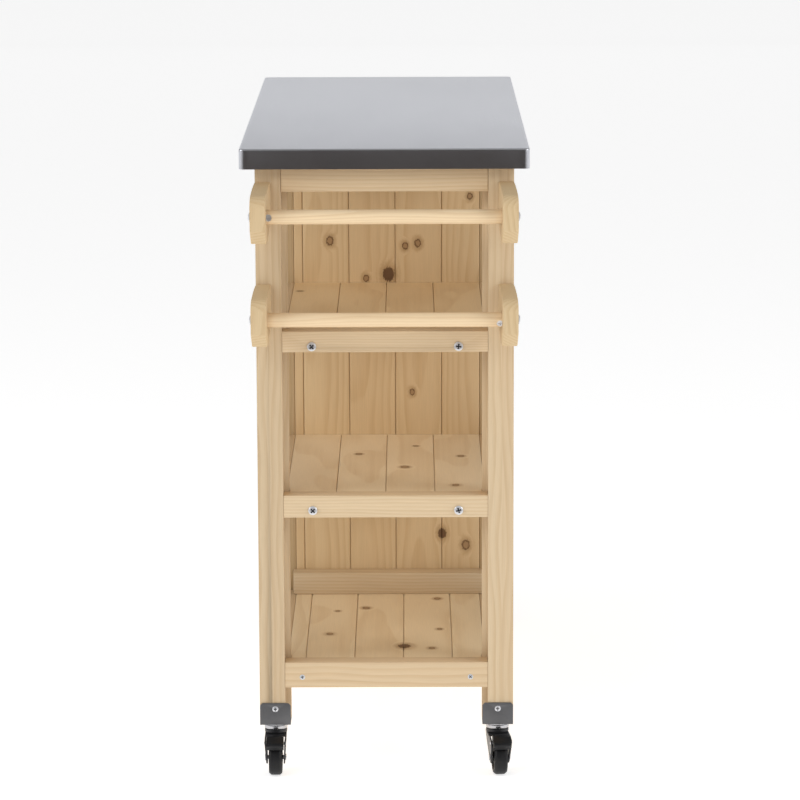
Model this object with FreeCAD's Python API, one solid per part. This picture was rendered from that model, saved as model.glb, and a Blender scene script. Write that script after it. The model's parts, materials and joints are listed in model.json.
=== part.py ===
import FreeCAD, Part
import math
import os
from FreeCAD import Vector

# Kitchen island cart, in millimetres. +Z is up, X is across and Y is along the worktop.
# The end with the towel rods faces -Y. The origin is on the floor, at the middle of the outline.

# Whole cart
width = 400.0
length = 1000.0
height = 893.0
fit_gap = 0.3                # gap between wooden pieces that only meet

# Worktop: a folded steel sheet over a wooden core
sheet = 1.0
skirt = 28.0
fold_radius = 2.0
core_thickness = 18.0

# Casters and the steel plates that they hang from
caster_height = 72.0
plate = 1.7
plate_flange = 31.5
plate_chamfer = 3.5
plate_screw_height = caster_height + 23.0
plate_screw_depth = 16.0
wheel_radius = 25.0
wheel_width = 18.5
hub_width = 20.0
hub_radius = 16.0
trail = 24.0                 # from the swivel axis to the axle
front_right_turn = 6.0       # degrees, the one caster that doesn't stand straight

# Legs: two boards glued together, with a rabbet that holds the end rails
leg_outer = 179.0            # from the middle of the cart to a leg's outer face
leg_width = 43.5
leg_depth = 44.0
outer_board = 16.5
rabbet_width = 8.0
rabbet_depth = 30.0
end_overhang = 22.0          # worktop past the legs at each end

# Rails, shelves and the divider
rail_depth = 30.0
top_rail_drop = 43.0
board_pitch = 69.4
board_gap = 0.8
board_thickness = 12.0
groove_chamfer = 1.0
tongue = 4.0
shelf_half = 138.8           # from the middle to the shelf boards' outer edges
side_rail_width = 35.0
bearer_width = 22.0
bearer_height = 18.0
divider_front = -28.5
post_inner = 139.5
foot_batten = (286.0, 33.0, 32.5)   # length, depth, height

# name: top of the shelf, height of its end rails, bearers' distance from the middle, where the boards meet
shelves = {
    "upper": (635.5, 29.0, 102.2, (-69.4, 0.0, 69.4)),
    "middle": (402.5, 31.0, 102.2, (-69.4, 0.0, 69.4)),
    "bottom": (161.9, 36.0, 118.7, (-114.4, -45.0, 24.4, 93.8)),
}
plank_joints = (-126.0, -56.6, 12.8, 82.2)

# Towel rods and the ears that hold them
rod_radius = 10.0
rod_out = 58.0               # from the legs' front faces to a rod's axis
ear_thickness = 21.5
ear_reach = 84.0
ear_flare = 4.3              # how far an ear's nose leans out past the leg's outer face
ear_drop = 41.0              # from an ear's top to its rod's axis
socket_depth = 8.0
rods = {"upper": 804.0, "lower": 661.5}

# Fasteners
bolt_radius = 3.0
bolt_head_radius = 6.3
bolt_head_height = 3.0
nut_radius = 5.0
nut_length = 14.0
nut_sunk = 1.4               # how far a nut's end lies below the rod's surface
plate_screw_head = 4.2
shelf_bolt_depth = 46.0
screw_radius = 1.8
screw_head_radius = 3.8

leg_top = height - sheet - core_thickness
leg_bottom = caster_height + plate
leg_front = -length / 2 + end_overhang
rail_front = leg_front + 0.5
rail_back = rail_front + rail_depth
leg_back = leg_front + leg_depth
outline_shift = (ear_reach - end_overhang) / 2   # puts the origin at the middle of the outline


def box(x0, x1, y0, y1, z0, z1):
    low = Vector(min(x0, x1), min(y0, y1), min(z0, z1))
    return Part.makeBox(abs(x1 - x0), abs(y1 - y0), abs(z1 - z0), low)


def cylinder(radius, start, end):
    path = Vector(*end) - Vector(*start)
    return Part.makeCylinder(radius, path.Length, Vector(*start), path)


def prism(points, direction):
    corners = [Vector(*p) for p in points]
    return Part.Face(Part.makePolygon(corners + corners[:1])).extrude(Vector(*direction))


def mirror_x(shape):
    return shape.mirror(Vector(0, 0, 0), Vector(1, 0, 0))


def mirror_y(shape):
    return shape.mirror(Vector(0, 0, 0), Vector(0, 1, 0))


def save(node, *solids):
    pieces = [s.translated(Vector(0, outline_shift, 0)) for s in solids]
    shape = pieces[0] if len(pieces) == 1 else Part.makeCompound(pieces)
    shape.exportStep(os.path.join("parts", node + ".step"))


def worktop():
    skin = box(-width / 2, width / 2, -length / 2, length / 2, height - skirt, height)
    edges = [e for e in skin.Edges if e.BoundBox.ZMax > height - 0.01]
    skin = skin.makeFillet(fold_radius, edges)
    inner = box(sheet - width / 2, width / 2 - sheet, sheet - length / 2, length / 2 - sheet,
                height - skirt - 1, height - sheet)
    edges = [e for e in inner.Edges if e.BoundBox.ZMin > height - sheet - 0.01]
    save("worktop_sheet", skin.cut(inner.makeFillet(fold_radius - sheet, edges)))
    inset = sheet + 1.2
    save("worktop_core", box(inset - width / 2, width / 2 - inset, inset - length / 2,
                             length / 2 - inset, leg_top, height - sheet))


def leg_boards():
    """The front right leg: its outer board, and its inner board with the rabbet."""
    seam = leg_outer - outer_board
    inner_face = leg_outer - leg_width
    outer = box(seam, leg_outer, leg_front, leg_back, leg_bottom, leg_top)
    inner = box(inner_face, seam, leg_front, leg_back, leg_bottom, leg_top)
    rabbet = box(inner_face - 1, inner_face + rabbet_width, leg_front - 1,
                 leg_front + rabbet_depth + 0.8, leg_bottom - 1, leg_top + 1)
    inner = inner.cut(rabbet)
    for hole in plate_screw_shanks():
        inner = inner.cut(hole)
    return [outer, inner]


def plate_screw_shanks():
    """The shanks of the two screws that hold the front right foot plate."""
    x, z = leg_outer - leg_width / 2, plate_screw_height
    front, back = leg_front - plate, leg_back + plate
    return [cylinder(screw_radius, (x, front, z), (x, front + plate_screw_depth, z)),
            cylinder(screw_radius, (x, back, z), (x, back - plate_screw_depth, z))]


def legs():
    for end, at_back in (("front", False), ("back", True)):
        for side, at_left in (("left", True), ("right", False)):
            boards = leg_boards()
            if at_left:
                boards = [mirror_x(b) for b in boards]
            if at_back:
                boards = [mirror_y(b) for b in boards]
            save(f"leg_{end}_{side}", *boards)


def middle_posts():
    post = box(post_inner, leg_outer, divider_front, divider_front + leg_depth,
               shelves["bottom"][0] - shelves["bottom"][1], leg_top - top_rail_drop)
    save("middle_post_right", post)
    save("middle_post_left", mirror_x(post))


def top_rails():
    half = leg_outer - leg_width + rabbet_width - fit_gap
    rail = box(-half, half, rail_front, rail_back, leg_top - top_rail_drop, leg_top)
    save("top_end_rail_front", rail)
    save("top_end_rail_back", mirror_y(rail))
    side = box(post_inner, post_inner + side_rail_width, leg_back + fit_gap, -leg_back - fit_gap,
               leg_top - top_rail_drop + fit_gap, leg_top)
    save("top_side_rail_right", side)
    save("top_side_rail_left", mirror_x(side))


def board_section(left, right, left_edge, right_edge):
    """Corners of one board, as (across, below the face). Its edges are tongue, groove or plain."""
    middle = board_thickness / 2
    c = groove_chamfer
    low, high = middle - tongue / 2, middle + tongue / 2
    slack = 0.3
    corners = [(left + c, 0), (right - c, 0), (right, c)]
    if right_edge == "tongue":
        corners += [(right, low), (right + tongue, low), (right + tongue, high), (right, high)]
    corners += [(right, board_thickness - c), (right - c, board_thickness)]
    corners += [(left + c, board_thickness), (left, board_thickness - c)]
    if left_edge == "groove":
        deep = left + tongue - board_gap + slack
        corners += [(left, high + slack), (deep, high + slack), (deep, low - slack), (left, low - slack)]
    corners += [(left, c)]
    return corners


def boarding(joints, half, place, run):
    """Boards side by side from -half to half. place turns (across, below the face) into a point."""
    edges = [-half - board_gap / 2, *joints, half + board_gap / 2]
    made = []
    for k in range(len(edges) - 1):
        left = edges[k] + board_gap / 2
        right = edges[k + 1] - board_gap / 2
        section = board_section(left, right, "groove" if k else "plain",
                                "tongue" if k < len(edges) - 2 else "plain")
        made.append(prism([place(u, v) for u, v in section], run))
    return made


def divider():
    bottom = shelves["bottom"][0] - shelves["bottom"][1]
    planks = boarding(plank_joints, post_inner - fit_gap,
                      lambda u, v: (u, divider_front + v, bottom), (0, 0, leg_top - bottom))
    save("divider_planks", *planks)
    back = divider_front + board_thickness
    half = post_inner - fit_gap
    save("divider_top_rail", box(-half, half, back, back + rail_depth, leg_top - top_rail_drop, leg_top))
    long, deep, tall = foot_batten
    floor = shelves["bottom"][0]
    save("divider_foot_batten", box(-long / 2, long / 2, divider_front - deep, divider_front,
                                    floor, floor + tall))


def leg_clearance():
    """The space that the legs' set-back parts take out of the shelf boards' corners."""
    inner_face = leg_outer - leg_width - fit_gap
    right = box(inner_face, leg_outer, leg_front, leg_back + fit_gap, leg_bottom, leg_top)
    return right.fuse(mirror_x(right))


def shelf_bolt(x, z):
    """One bolt in the front end rail, with its flat domed head, and the hole that it needs."""
    head = cylinder(bolt_head_radius, (x, rail_front - bolt_head_height, z), (x, rail_front, z))
    rim = [e for e in head.Edges if e.BoundBox.YMax < rail_front - bolt_head_height + 0.01]
    head = head.makeFillet(1.8, rim)
    shank = cylinder(bolt_radius, (x, rail_front - 0.5, z), (x, rail_front + shelf_bolt_depth + 6, z))
    recess = cross_recess((x, rail_front - bolt_head_height, z), (0, 1, 0), 2.6)
    return head.fuse(shank).cut(recess)


def cross_recess(point, direction, reach):
    """A cross-shaped driver recess, cut 1.6 deep from point along an axis direction."""
    half = 0.55
    bars = []
    for a, b in ((reach, half), (half, reach)):
        bar = Part.makeBox(2 * a, 2 * b, 1.7, Vector(-a, -b, -0.1))
        bars.append(bar)
    cross = bars[0].fuse(bars[1])
    cross.Placement = FreeCAD.Placement(
        Vector(*point), FreeCAD.Rotation(Vector(0, 0, 1), Vector(*direction)))
    return cross


def barrel_nut(bolt_point, direction, along, depth):
    """A cross dowel nut: a barrel with a driver recess at one end, and the bolt's hole this deep in it."""
    axis = Vector(*direction)
    start = Vector(*bolt_point) - axis * depth
    barrel = Part.makeCylinder(nut_radius, nut_length, start, axis)
    run = Vector(*along)
    hole = Part.makeCylinder(bolt_radius, 3 * nut_radius, Vector(*bolt_point) - run * 1.5 * nut_radius, run)
    return barrel.cut(hole).cut(cross_recess(tuple(start), direction, 3.3))


def rail_screw(x, z):
    """A small countersunk wood screw in the bottom rail, before its recess is cut."""
    head = Part.makeCone(screw_head_radius, screw_radius, 2.6, Vector(x, rail_front, z), Vector(0, 1, 0))
    return head.fuse(cylinder(screw_radius, (x, rail_front, z), (x, rail_front + 48, z)))


def shelf_sets():
    """Every shelf, the bearers under it and the fasteners in its end rails, in both bays."""
    bearers, bolts, screws, nuts = [], [], [], []
    clearance = leg_clearance()
    half = leg_outer - leg_width + rabbet_width - fit_gap
    for level, (top, tall, bearer_x, joints) in shelves.items():
        bolt_z = top - board_thickness - bearer_height / 2
        side_rails = []
        for end, at_back in (("front", False), ("back", True)):
            inner_end = -(divider_front + board_thickness) if at_back else divider_front
            inner_end -= fit_gap
            turn = mirror_y if at_back else (lambda shape: shape)
            rail = box(-half, half, rail_front, rail_back, top - tall, top)
            fasteners, bearer_pair = [], []
            for x in (-bearer_x, bearer_x):
                bearer = box(x - bearer_width / 2, x + bearer_width / 2, rail_back, inner_end,
                             bolt_z - bearer_height / 2, bolt_z + bearer_height / 2)
                if level == "bottom":
                    fasteners.append(rail_screw(x, bolt_z))
                    bearer = bearer.cut(fasteners[-1])
                else:
                    fasteners.append(shelf_bolt(x, bolt_z))
                    nut_centre = (x, rail_front + shelf_bolt_depth, bolt_z)
                    nuts.append(turn(barrel_nut(nut_centre, (0, 0, 1), (0, 1, 0), nut_length / 2)))
                    pocket = cylinder(nut_radius, (nut_centre[0], nut_centre[1], bolt_z - nut_length / 2),
                                      (nut_centre[0], nut_centre[1], bolt_z + nut_length / 2))
                    access = cylinder(nut_radius, (nut_centre[0], nut_centre[1], bolt_z - bearer_height),
                                      (nut_centre[0], nut_centre[1], bolt_z))
                    shank = cylinder(bolt_radius, (x, rail_front, bolt_z),
                                     (x, rail_front + shelf_bolt_depth + 6, bolt_z))
                    bearer = bearer.cut(pocket).cut(access).cut(shank)
                bearer_pair.append(bearer)
            for fastener in fasteners:
                rail = rail.cut(fastener)
            if level == "bottom":
                fasteners = [screw.cut(cross_recess((x, rail_front, bolt_z), (0, 1, 0), 1.9))
                             for screw, x in zip(fasteners, (-bearer_x, bearer_x))]
            boards = boarding(joints, shelf_half, lambda u, v: (u, rail_back + fit_gap, top - v),
                              (0, inner_end - rail_back - 2 * fit_gap, 0))
            post_face = -(divider_front + leg_depth) - fit_gap if at_back else inner_end
            side = box(shelf_half + fit_gap, shelf_half + fit_gap + side_rail_width,
                       leg_back + fit_gap, post_face, top - tall, top)
            side_rails += [turn(side), turn(mirror_x(side))]
            bearers += [turn(b) for b in bearer_pair]
            (screws if level == "bottom" else bolts).extend(turn(f) for f in fasteners)
            save(f"{level}_rail_{end}", turn(rail))
            save(f"{level}_boards_{end}", *[turn(b.cut(clearance)) for b in boards])
        save(f"{level}_side_rails", *side_rails)
    save("shelf_bearers", *bearers)
    save("shelf_bolts", *bolts)
    save("rail_screws", *screws)
    return nuts


def ear_blank(top):
    """One right-hand ear: its outline from the side, leaning out sideways from the leg to its nose."""
    def at(out, down):
        return Vector(leg_outer - 2 * ear_thickness, leg_front - out, top - down)
    outline = [
        Part.Arc(at(0, 0), at(38, 3), at(68, 9)).toShape(),
        Part.Arc(at(68, 9), at(79.5, 15.5), at(ear_reach, 27)).toShape(),
        Part.LineSegment(at(ear_reach, 27), at(ear_reach - 1, 58)).toShape(),
        Part.LineSegment(at(ear_reach - 1, 58), at(66, 77)).toShape(),
        Part.LineSegment(at(66, 77), at(46, 77)).toShape(),
        Part.Arc(at(46, 77), at(24, 64), at(0, 60)).toShape(),
        Part.LineSegment(at(0, 60), at(0, 0)).toShape(),
    ]
    profile = Part.Face(Part.Wire(outline)).extrude(Vector(4 * ear_thickness, 0, 0))
    plan = [(leg_outer - ear_thickness, leg_front), (leg_outer, leg_front),
            (leg_outer + ear_flare, leg_front - ear_reach),
            (leg_outer + ear_flare - ear_thickness, leg_front - ear_reach)]
    return profile.common(prism([(x, y, top - 90) for x, y in plan], (0, 0, 100)))


def ear_face(out):
    """How far an ear's outer face is from the middle, this far out from the leg."""
    return leg_outer + ear_flare * out / ear_reach


def towel_rods():
    bolts, nuts = [], []
    rod_y = leg_front - rod_out
    ear_inner = ear_face(rod_out) - ear_thickness
    seat = ear_face(rod_out + bolt_head_radius)
    rod_half = ear_inner + socket_depth
    nut_x = rod_half - 10.0
    for row, z in rods.items():
        rod = cylinder(rod_radius, (-rod_half, rod_y, z), (rod_half, rod_y, z))
        for side, sign in (("left", -1), ("right", 1)):
            ear = ear_blank(z + ear_drop)
            ear = ear if sign > 0 else mirror_x(ear)

            def at(x):
                return sign * x, rod_y, z

            head_top = seat + bolt_head_height
            socket = cylinder(rod_radius + 0.1, at(ear_inner - 3), at(rod_half))
            shank = cylinder(bolt_radius, at(nut_x - 6), at(seat + 0.5))
            head = cylinder(bolt_head_radius, at(seat), at(head_top))
            head = head.makeFillet(1.8, [e for e in head.Edges if abs(e.BoundBox.Center.x) > head_top - 0.01])
            recess = cross_recess(at(head_top), (-sign, 0, 0), 2.6)
            bolts.append(head.fuse(shank).cut(recess))
            save(f"ear_{row}_{side}", ear.cut(socket).cut(shank))
            # the nut's recessed end shows on the front of one end of each rod
            shows = (row == "upper") == (side == "left")
            tilt = math.radians(0.0 if row == "upper" else 30.0)
            facing = Vector(0, math.cos(tilt), math.sin(tilt)) * (1 if shows else -1)
            bolt_point = Vector(*at(nut_x))
            depth = rod_radius - nut_sunk
            nuts.append(barrel_nut(tuple(bolt_point), tuple(facing), (1, 0, 0), depth))
            pocket = Part.makeCylinder(nut_radius, nut_length + 6, bolt_point - facing * (depth + 6), facing)
            rod = rod.cut(pocket).cut(shank)
        save(f"towel_rod_{row}", rod)
    save("rod_bolts", *bolts)
    return nuts


def foot_plates():
    """A steel channel round the foot of each leg, with a screw in each flange."""
    x0, x1 = leg_outer - leg_width, leg_outer
    y0, y1 = leg_front - plate, leg_back + plate
    z1 = caster_height + plate_flange
    middle_x = (x0 + x1) / 2
    c = plate_chamfer
    outline = [(x0, y0, caster_height), (x1, y0, caster_height), (x1, y0, z1 - c), (x1 - c, y0, z1),
               (x0 + c, y0, z1), (x0, y0, z1 - c)]
    flange = prism(outline, (0, plate, 0))
    far_flange = prism([(x, leg_back, z) for x, _, z in outline], (0, plate, 0))
    channel = box(x0, x1, y0, y1, caster_height, leg_bottom).fuse(flange).fuse(far_flange)
    screws = []
    for shank, face_y, inward in zip(plate_screw_shanks(), (y0, y1), (1, -1)):
        top_y = face_y - inward * 1.8
        head = cylinder(plate_screw_head, (middle_x, top_y, plate_screw_height),
                        (middle_x, face_y, plate_screw_height))
        rim = [e for e in head.Edges if abs(e.BoundBox.Center.y - top_y) < 0.01]
        recess = cross_recess((middle_x, top_y, plate_screw_height), (0, inward, 0), 1.9)
        screws.append(head.makeFillet(1.2, rim).fuse(shank).cut(recess))
        channel = channel.cut(shank)
    save("foot_plates", *[turn(channel) for turn in corner_turns()])
    save("plate_screws", *[turn(screw) for turn in corner_turns() for screw in screws])


def corner_turns():
    """Turns a piece of the front right corner into the same piece at each of the four corners."""
    return [lambda s: s, mirror_x, mirror_y, lambda s: mirror_y(mirror_x(s))]


# Caster pieces are drawn with the swivel axis at the origin and the wheel towards -Y.
race_top = 69.0
race_split = 62.2
race_bottom = 56.3
crown = 2.2
rivet_radius = 4.0
axle_radius = 3.0
cheek = 2.0
cheek_top_half = 15.2
cheek_foot_half = 13.2
pedal_pivot = (-42.0, 50.0)
pedal_pin_radius = 2.0
pedal_half = 12.0
turning_gap = 0.08


def ring(outer, inner, z0, z1, edge=1.6):
    made = Part.makeCylinder(outer, z1 - z0, Vector(0, 0, z0))
    rims = [e for e in made.Edges if e.BoundBox.ZLength < 0.01]
    made = made.makeFillet(edge, rims)
    return made.cut(Part.makeCylinder(inner, z1 - z0 + 2, Vector(0, 0, z0 - 1)))


def caster_head():
    """Fixed to the foot plate: the upper race, and the rivet that the fork turns on."""
    boss = Part.makeCylinder(17.5, caster_height - race_top, Vector(0, 0, race_top))
    race = ring(16.6, rivet_radius, race_split + 0.3, race_top)
    rivet = Part.makeCylinder(rivet_radius, caster_height - 50.6, Vector(0, 0, 50.6))
    head = Part.makeCylinder(6.5, 2.6, Vector(0, 0, 50.6))
    head = head.makeFillet(1.2, [e for e in head.Edges if e.BoundBox.ZMax < 50.61])
    return boss.fuse(race).fuse(rivet).fuse(head)


def fork():
    """The lower race, the crown and the two cheeks that lean in towards the axle."""
    lower_race = ring(16.0, rivet_radius + turning_gap, race_bottom, race_split)
    crown_low = race_bottom - crown
    plate_top = box(-cheek_top_half, cheek_top_half, -22, 12, crown_low, race_bottom)
    round_end = Part.makeCylinder(cheek_top_half, crown, Vector(0, 2, crown_low))
    plate_top = plate_top.cut(box(-20, 20, 2, 20, crown_low - 1, race_bottom + 1)).fuse(round_end)
    y, z = -trail, wheel_radius
    py, pz = pedal_pivot
    side = [(14, race_bottom), (9, 44), (y + 9, z - 4), (y + 4, z - 8.5), (y - 4, z - 8.5),
            (y - 9, z - 4), (py - 4, pz - 4), (py - 3, pz + 4), (-30, race_bottom)]
    profile = prism([(-20, a, b) for a, b in side], (40, 0, 0))
    foot = z - 10
    for sign in (-1, 1):
        lean = [(sign * x, -60, up) for x, up in (
            (cheek_top_half - cheek, race_bottom), (cheek_top_half, race_bottom),
            (cheek_foot_half, foot), (cheek_foot_half - cheek, foot))]
        plate_top = plate_top.fuse(prism(lean, (0, 90, 0)).common(profile))
    body = plate_top.fuse(lower_race)
    body = body.cut(Part.makeCylinder(rivet_radius + turning_gap, 30, Vector(0, 0, 45)))
    body = body.cut(cylinder(axle_radius, (-20, y, z), (20, y, z)))
    return body.cut(cylinder(pedal_pin_radius, (-20, *pedal_pivot), (20, *pedal_pivot)))


def axle():
    """The wheel's axle with a riveted end outside each cheek, and the pin that the brake pedal turns on."""
    y, z = -trail, wheel_radius
    seat = cheek_foot_half + 0.75
    bar = cylinder(axle_radius, (-seat, y, z), (seat, y, z))
    for sign in (-1, 1):
        bar = bar.fuse(cylinder(4.6, (sign * seat, y, z), (sign * (seat + 1.4), y, z)))
    pin_end = cheek_top_half + 0.6
    pin = cylinder(pedal_pin_radius, (-pin_end, *pedal_pivot), (pin_end, *pedal_pivot))
    return bar, pin


def wheel():
    """A solid black wheel: a rounded tread and a narrower hub face, turned about its axle."""
    half, hub = wheel_width / 2, hub_width / 2
    r = wheel_radius
    outline = [(axle_radius + turning_gap, -hub), (7.0, -hub), (8.0, -half + 2.5), (hub_radius, -half + 2.5),
               (hub_radius + 2, -half), (r - 2.5, -half), (r, -half + 3.2), (r, half - 3.2), (r - 2.5, half),
               (hub_radius + 2, half), (hub_radius, half - 2.5), (8.0, half - 2.5), (7.0, hub),
               (axle_radius + turning_gap, hub)]
    points = [Vector(x, -trail, wheel_radius + radius) for radius, x in outline]
    face = Part.Face(Part.makePolygon(points + points[:1]))
    return face.revolve(Vector(0, -trail, wheel_radius), Vector(1, 0, 0), 360)


def pedal():
    """The brake pedal between the cheeks: a toe tab, and a shoe that nears the tread when it is pressed."""
    py, pz = pedal_pivot

    def at(y, z):
        return Vector(-pedal_half, py + y, pz + z)

    edges = [
        Part.Arc(at(4.5, 2), at(6.5, 7), at(3, 11)).toShape(),
        Part.LineSegment(at(3, 11), at(-6, 10)).toShape(),
        Part.LineSegment(at(-6, 10), at(-13, 4.5)).toShape(),
        Part.Arc(at(-13, 4.5), at(-16, 0.8), at(-14, -2.6)).toShape(),
        Part.LineSegment(at(-14, -2.6), at(-8.5, -4.5)).toShape(),
        Part.LineSegment(at(-8.5, -4.5), at(-6.5, -8.5)).toShape(),
        Part.LineSegment(at(-6.5, -8.5), at(-3.5, -7.2)).toShape(),
        Part.Arc(at(-3.5, -7.2), at(2.2, -3.0), at(4.5, 2)).toShape(),
    ]
    body = Part.Face(Part.Wire(edges)).extrude(Vector(2 * pedal_half, 0, 0))
    return body.cut(cylinder(pedal_pin_radius + turning_gap, (-30, py, pz), (30, py, pz)))


def casters():
    heads = []
    swivel_x = leg_outer - leg_width / 2
    swivel_y = leg_front + leg_depth / 2
    pieces = {"fork": fork(), "axle": Part.makeCompound(list(axle())), "wheel": wheel(), "brake": pedal()}
    for end, y in (("front", swivel_y), ("back", -swivel_y)):
        for side, x in (("left", -swivel_x), ("right", swivel_x)):
            turned = front_right_turn if (end, side) == ("front", "right") else 0.0
            spot = FreeCAD.Placement(Vector(x, y, 0), FreeCAD.Rotation(Vector(0, 0, 1), turned))
            heads.append(caster_head().translated(Vector(x, y, 0)))
            for name, shape in pieces.items():
                placed = shape.copy()
                placed.Placement = spot
                save(f"caster_{name}_{end}_{side}", *placed.Solids)
    save("caster_heads", *heads)


os.makedirs("parts", exist_ok=True)
worktop()
legs()
middle_posts()
top_rails()
divider()
save("barrel_nuts", *(shelf_sets() + towel_rods()))
foot_plates()
casters()
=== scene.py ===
import json
import math
import random

import bmesh
import bpy
from mathutils import Euler, Matrix, Vector


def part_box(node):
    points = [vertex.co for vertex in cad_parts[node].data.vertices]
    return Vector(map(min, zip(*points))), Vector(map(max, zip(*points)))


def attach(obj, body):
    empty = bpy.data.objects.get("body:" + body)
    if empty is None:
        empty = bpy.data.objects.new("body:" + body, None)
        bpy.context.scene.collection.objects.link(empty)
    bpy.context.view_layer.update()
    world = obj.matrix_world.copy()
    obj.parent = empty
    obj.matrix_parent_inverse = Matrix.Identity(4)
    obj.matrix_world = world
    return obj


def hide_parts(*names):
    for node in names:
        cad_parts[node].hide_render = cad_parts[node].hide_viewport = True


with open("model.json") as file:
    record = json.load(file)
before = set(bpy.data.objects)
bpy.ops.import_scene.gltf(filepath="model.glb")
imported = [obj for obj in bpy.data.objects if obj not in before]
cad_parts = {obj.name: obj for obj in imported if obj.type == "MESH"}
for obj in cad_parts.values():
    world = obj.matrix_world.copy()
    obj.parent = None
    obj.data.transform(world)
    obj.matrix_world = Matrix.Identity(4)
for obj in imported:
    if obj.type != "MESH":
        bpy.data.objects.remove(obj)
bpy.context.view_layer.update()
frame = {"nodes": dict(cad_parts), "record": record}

nodeBody = {node: body for body, nodes in frame["record"]["behaviour"]["bodies"].items() for node in nodes}


# camera, light and floor

studio = dict(
    cameraPlace=(0.0327, -5.696, 1.5096),
    cameraTilt=10.479,            # degrees below level
    cameraTurn=0.133,
    cameraRoll=-0.195,
    lens=172.38,
    worldStrength=0.35,
    floorColor=(0.82, 0.82, 0.82),
    floorGlow=0.62,
    paleColor=(0.8, 0.8, 0.8),
    paleGlowColor=(0.93, 0.95, 1.0),
    rearGlow=0.37,
    cardColor=(0.042, 0.024, 0.015),
    paperRoughness=0.9,
    lampTarget=(0, 0, 0.45),
)
lamps = [
    dict(name="keyLight", place=(-1.8, -3.6, 3.3), size=(1.6, 1.3), power=26, glossy=False),
    dict(name="frontLight", place=(0.8, -5.2, 1.2), size=(1.8, 1.2), power=11, glossy=False),
    dict(name="leftLight", place=(-3.0, -1.5, 2.0), size=(1.8, 1.4), power=33, glossy=True),
    dict(name="rightLight", place=(3.0, -1.7, 2.0), size=(1.8, 1.4), power=38, glossy=True),
]


def makeCamera():
    data = bpy.data.cameras.new("studioCamera")
    camera = bpy.data.objects.new("studioCamera", data)
    bpy.context.scene.collection.objects.link(camera)
    data.lens = studio["lens"]
    data.sensor_width = 36.0
    camera.location = studio["cameraPlace"]
    aim = Euler((math.radians(90 - studio["cameraTilt"]), 0, math.radians(studio["cameraTurn"])))
    roll = Matrix.Rotation(math.radians(studio["cameraRoll"]), 3, "Z")
    camera.rotation_euler = (aim.to_matrix() @ roll).to_euler()
    bpy.context.scene.camera = camera


def areaLight(name, place, target, size, power, glossy):
    data = bpy.data.lights.new(name, "AREA")
    data.shape = "RECTANGLE"
    data.size, data.size_y = size
    data.energy = power
    lamp = bpy.data.objects.new(name, data)
    lamp.location = place
    lamp.rotation_euler = (Vector(target) - Vector(place)).to_track_quat("-Z", "Y").to_euler()
    lamp.visible_glossy = glossy
    bpy.context.scene.collection.objects.link(lamp)


def paper(name, color, glow=0.0, glowColor=(1, 1, 1)):
    material = bpy.data.materials.new(name)
    material.use_nodes = True
    shader = material.node_tree.nodes["Principled BSDF"]
    shader.inputs["Base Color"].default_value = (*color, 1)
    shader.inputs["Roughness"].default_value = studio["paperRoughness"]
    shader.inputs["Emission Color"].default_value = (*glowColor, 1)
    shader.inputs["Emission Strength"].default_value = glow
    return material


def makeStudio():
    scene = bpy.context.scene
    scene.view_settings.view_transform = "Standard"
    world = bpy.data.worlds.new("studioWorld")
    world.use_nodes = True
    world.node_tree.nodes["Background"].inputs["Color"].default_value = (1, 1, 1, 1)
    world.node_tree.nodes["Background"].inputs["Strength"].default_value = studio["worldStrength"]
    scene.world = world
    floorPaper = paper("floorPaper", studio["floorColor"], studio["floorGlow"])
    addPlane("studioFloor", (0, 0, 0), (60, 60), 0, floorPaper)
    # a dark card on the floor in front and one behind the camera, for the steel's skirt to reflect
    dark = paper("cardDark", studio["cardColor"])
    addCard("frontCard", (0, -7.2, 0.004), (9, 12.4), 0, dark)
    addCard("backCard", (0, -12, 2.5), (9, 5), 90, dark)
    # a pale card far behind, for the worktop to reflect
    pale = paper("cardPale", studio["paleColor"], studio["rearGlow"], studio["paleGlowColor"])
    addCard("rearCard", (0, 11, 2.6), (16, 5), 90, pale)
    for lamp in lamps:
        areaLight(**lamp, target=studio["lampTarget"])
    print("studio done")


def addCard(name, place, size, tilt, material):
    # a card that only reflections see
    card = addPlane(name, place, size, tilt, material)
    card.visible_camera = False
    card.visible_diffuse = False
    card.visible_shadow = False


def addPlane(name, place, size, tilt, material):
    bpy.ops.mesh.primitive_plane_add(size=1, location=place, rotation=(math.radians(tilt), 0, 0))
    plane = bpy.context.object
    plane.name = name
    plane.scale = (*size, 1)
    plane.data.materials.append(material)
    return plane


# small helpers for shader nodes

def addNode(tree, kind, settings=None, **sockets):
    node = tree.nodes.new(kind)
    for key, value in (settings or {}).items():
        setattr(node, key, value)
    for key, value in sockets.items():
        socket = node.inputs[int(key[1:])] if key[1:].isdigit() else node.inputs[key.replace("_", " ")]
        if isinstance(value, bpy.types.NodeSocket):
            tree.links.new(value, socket)
        else:
            socket.default_value = value
    return node


def calc(tree, operation, a, b=0.0, c=0.0):
    return addNode(tree, "ShaderNodeMath", {"operation": operation}, s0=a, s1=b, s2=c).outputs[0]


def noise(tree, vector, scale=1.0, detail=2.0, roughness=0.5):
    node = addNode(tree, "ShaderNodeTexNoise", None, Vector=vector, Scale=scale, Detail=detail,
                   Roughness=roughness)
    return node.outputs["Fac"]


def stretchedNoise(tree, vector, stretch, detail=2.0, roughness=0.5):
    return noise(tree, vectorCalc(tree, "MULTIPLY", vector, stretch), 1.0, detail, roughness)


def greyVector(tree, value):
    return addNode(tree, "ShaderNodeCombineXYZ", None, s0=value, s1=value, s2=value).outputs[0]


def vectorCalc(tree, operation, a, b):
    node = addNode(tree, "ShaderNodeVectorMath", {"operation": operation}, s0=a, s1=b)
    return node.outputs["Value" if operation in ("LENGTH", "DOT_PRODUCT") else "Vector"]


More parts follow.
